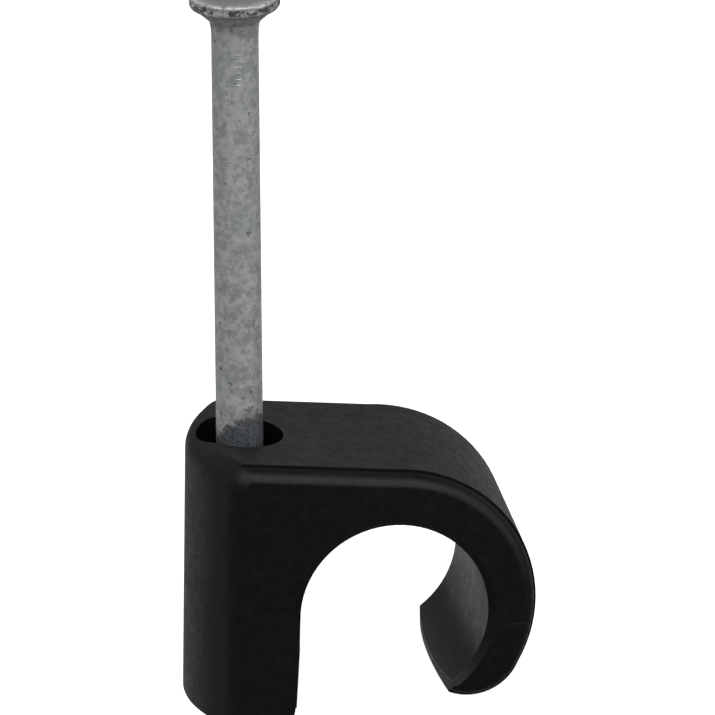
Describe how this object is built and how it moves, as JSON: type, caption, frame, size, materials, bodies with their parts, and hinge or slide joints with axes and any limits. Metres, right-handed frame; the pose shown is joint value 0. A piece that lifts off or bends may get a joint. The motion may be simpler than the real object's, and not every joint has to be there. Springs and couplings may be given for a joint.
{
  "type": "nail-in cable clip",
  "caption": "Nail-in cable clip: a moulded plastic hook that snaps over a round cable, with a boss that carries a headed steel nail for fixing to a wall.",
  "frame": {"origin": "nail axis at the wall face of the boss", "axes": "+Z away from the wall along the nail, +X from the nail to the hook, Y along the cable"},
  "size_m": [0.0181, 0.0116, 0.0393],
  "materials": {
    "black_plastic": "satin black, finely textured by the mould",
    "zinc_steel": "dull mottled zinc coat"
  },
  "bodies": {
    "root": {"clip_body": "black_plastic", "nail": "zinc_steel"}
  },
  "joints": []
}
